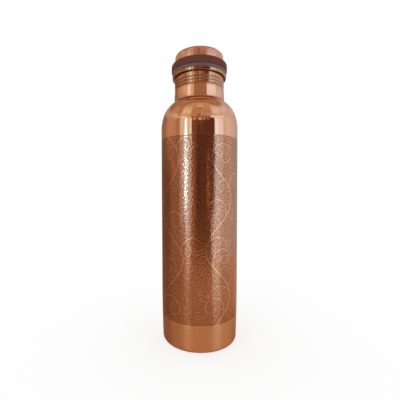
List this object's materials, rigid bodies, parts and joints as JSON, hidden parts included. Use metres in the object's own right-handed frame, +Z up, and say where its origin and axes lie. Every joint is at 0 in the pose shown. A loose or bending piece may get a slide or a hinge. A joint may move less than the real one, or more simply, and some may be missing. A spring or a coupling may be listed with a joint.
{
  "type": "water bottle",
  "caption": "Slim round-shouldered copper bottle with a vine-engraved barrel, a plain polished neck with a rolled thread, and a screw-in cap with a brown silicone band.",
  "frame": {"origin": "centre of the foot, on the plane the bottle stands on", "axes": "+Z up along the bottle's axis, -Y towards the viewer, +X to the viewer's right"},
  "size_m": [0.07, 0.07, 0.2604],
  "materials": {
    "bottle_copper": "polished copper, etched vine pattern on the barrel",
    "cap_copper": "polished copper",
    "plug_copper": "satin copper",
    "band_silicone": "matte, fine texture",
    "seal_silicone": "smooth satin"
  },
  "bodies": {
    "bottle": {"body_shell": "bottle_copper"},
    "seal": {"seal_ring": "seal_silicone"},
    "cap": {"cap_shell": "cap_copper", "cap_plug": "plug_copper", "grip_band": "band_silicone"}
  },
  "joints": [
    {"name": "cap_rise", "type": "slide", "parent": "bottle", "child": "seal", "axis": [0, 0, 1], "range_m": [0, 0.0163]},
    {"name": "cap_turn", "type": "hinge", "parent": "seal", "child": "cap", "pos_m": [0, 0, 0.2442], "axis": [0, 0, 1], "range_deg": [0, 2160]}
  ],
  "couplings": [
    {"joint": "cap_rise", "follows": "cap_turn", "m_per_rad": 0.00042972}
  ]
}
